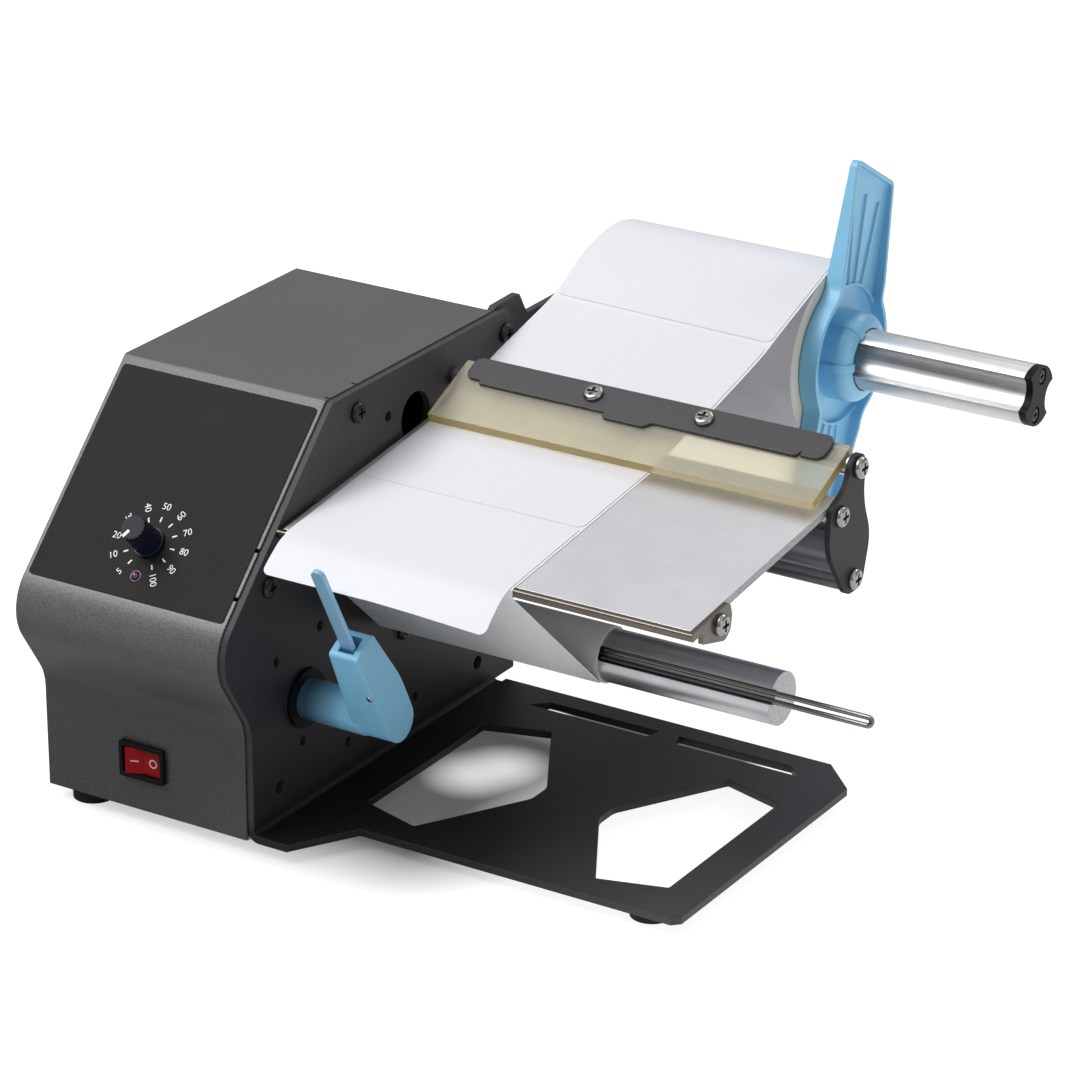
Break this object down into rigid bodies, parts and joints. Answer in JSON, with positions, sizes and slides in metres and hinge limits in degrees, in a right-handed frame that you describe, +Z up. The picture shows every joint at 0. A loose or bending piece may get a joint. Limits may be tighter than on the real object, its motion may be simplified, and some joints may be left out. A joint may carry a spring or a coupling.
{
  "type": "label dispenser",
  "caption": "Desk-top label dispenser: motor housing with speed dial, foot plate, roll spindle with sliding guide, peel plate, press flap, label sensor and liner rewind rod.",
  "frame": {"origin": "Middle of the whole footprint, on the surface that the feet stand on.", "axes": "+X runs along the rollers from the motor housing to the open end, +Y from the control panel to the label roll, +Z up."},
  "size_m": [0.3204, 0.3178, 0.2229],
  "materials": {
    "cover_paint": "fine textured powder coat",
    "base_paint": "satin powder coat",
    "overlay_film": "flat printed film",
    "bezel_black": "moulded",
    "rocker_red": "moulded",
    "lamp_red": "clear moulded",
    "knob_navy": "moulded",
    "circuit_board": "lacquered",
    "guide_blue": "moulded",
    "sensor_blue": "moulded",
    "label_paper": "smooth coated",
    "liner_paper": "glazed",
    "wound_liner": "glazed",
    "core_card": "plain",
    "pad_amber": "translucent cast",
    "bar_grey": "satin",
    "pale_aluminium": "satin",
    "grey_aluminium": "drawn",
    "strip_steel": "brushed",
    "screw_steel": "plain",
    "screw_black": "blackened",
    "bright_steel": "polished",
    "zinc_steel": "zinc plated",
    "cap_black": "moulded",
    "gear_nylon": "moulded",
    "bearing_bronze": "machined",
    "blade_brass": "plain",
    "foot_rubber": "moulded"
  },
  "bodies": {
    "chassis": {"backing_liner": "liner_paper", "bearing_block": "grey_aluminium", "cap_screws": "screw_black", "case_screws": "screw_steel", "control_board": "circuit_board", "cover": "cover_paint", "cross_beam": "grey_aluminium", "end_plate": "bar_grey", "end_plate_screws": "screw_steel", "floor_tray": "zinc_steel", "gear_bracket": "zinc_steel", "gear_motor": "zinc_steel", "inlet_blades": "blade_brass", "inner_screws": "screw_steel", "leading_label": "label_paper", "panel_overlay": "overlay_film", "peel_plate": "pale_aluminium", "peel_strip": "strip_steel", "potentiometer": "zinc_steel", "power_inlet": "bezel_black", "power_supply": "circuit_board", "rear_panel": "cover_paint", "rubber_feet": "foot_rubber", "sensor_bush": "bezel_black", "shaft_bearings": "bearing_bronze", "side_frame": "base_paint", "side_screws": "screw_black", "spindle_cap": "cap_black", "standoffs": "zinc_steel", "status_lamp": "lamp_red", "supply_arm": "base_paint", "supply_spindle": "pale_aluminium", "switch_body": "bezel_black", "wall_nuts": "zinc_steel", "web_labels": "label_paper"},
    "roll": {"roll_core": "core_card", "label_roll": "label_paper"},
    "rewind": {"rewind_shaft": "bright_steel", "rewind_rod": "grey_aluminium", "rewind_gear": "gear_nylon", "rewound_liner": "wound_liner"},
    "clip": {"retaining_clip": "bright_steel"},
    "motor_output": {"motor_output_shaft": "bright_steel", "drive_pinion": "gear_nylon"},
    "flap": {"flap_shaft": "bright_steel", "press_flap": "pad_amber", "flap_bar": "bar_grey", "flap_screws": "screw_steel", "shaft_clip": "zinc_steel"},
    "sensor": {"sensor_arm": "sensor_blue", "arm_collar": "zinc_steel", "micro_switch": "bezel_black", "holder_pins": "screw_steel"},
    "finger": {"trigger_finger": "sensor_blue"},
    "knob": {"speed_knob": "knob_navy", "pot_shaft": "bright_steel"},
    "power_rocker": {"rocker": "rocker_red"},
    "guide": {"width_guide": "guide_blue"}
  },
  "joints": [
    {"name": "rewind_spin", "type": "hinge", "parent": "chassis", "child": "rewind", "pos_m": [0.02775, -0.05289, 0.076], "axis": [1, 0, 0], "continuous": true},
    {"name": "roll_spin", "type": "hinge", "parent": "chassis", "child": "roll", "pos_m": [-0.00725, 0.11961, 0.14395], "axis": [1, 0, 0], "continuous": true},
    {"name": "pinion_spin", "type": "hinge", "parent": "chassis", "child": "motor_output", "pos_m": [-0.08225, -0.08289, 0.076], "axis": [1, 0, 0], "continuous": true},
    {"name": "clip_slide", "type": "slide", "parent": "rewind", "child": "clip", "axis": [1, 0, 0], "range_m": [0, 0.15]},
    {"name": "flap_hinge", "type": "hinge", "parent": "chassis", "child": "flap", "pos_m": [0.02775, -0.0004, 0.1515], "axis": [-1, 0, 0], "range_deg": [0, 70]},
    {"name": "sensor_hinge", "type": "hinge", "parent": "chassis", "child": "sensor", "pos_m": [-0.04225, -0.10669, 0.0533], "axis": [1, 0, 0], "range_deg": [0, 50]},
    {"name": "finger_hinge", "type": "hinge", "parent": "sensor", "child": "finger", "pos_m": [-0.0255, -0.11997, 0.07332], "axis": [1, 0, 0], "range_deg": [0, 4], "stiffness_Nm_per_rad": 0.03, "springref_deg": -2.86},
    {"name": "knob_turn", "type": "hinge", "parent": "chassis", "child": "knob", "pos_m": [-0.11175, -0.13587, 0.11652], "axis": [0, 0.7071, -0.7071], "range_deg": [0, 300]},
    {"name": "rocker_rock", "type": "hinge", "parent": "chassis", "child": "power_rocker", "pos_m": [-0.11345, -0.13989, 0.02735], "axis": [0, 0, -1], "range_deg": [0, 20]},
    {"name": "guide_slide", "type": "slide", "parent": "chassis", "child": "guide", "axis": [1, 0, 0], "range_m": [0, 0.07]}
  ],
  "couplings": [
    {"joint": "roll_spin", "follows": "rewind_spin", "ratio": 0.3122},
    {"joint": "pinion_spin", "follows": "rewind_spin", "ratio": -2}
  ]
}
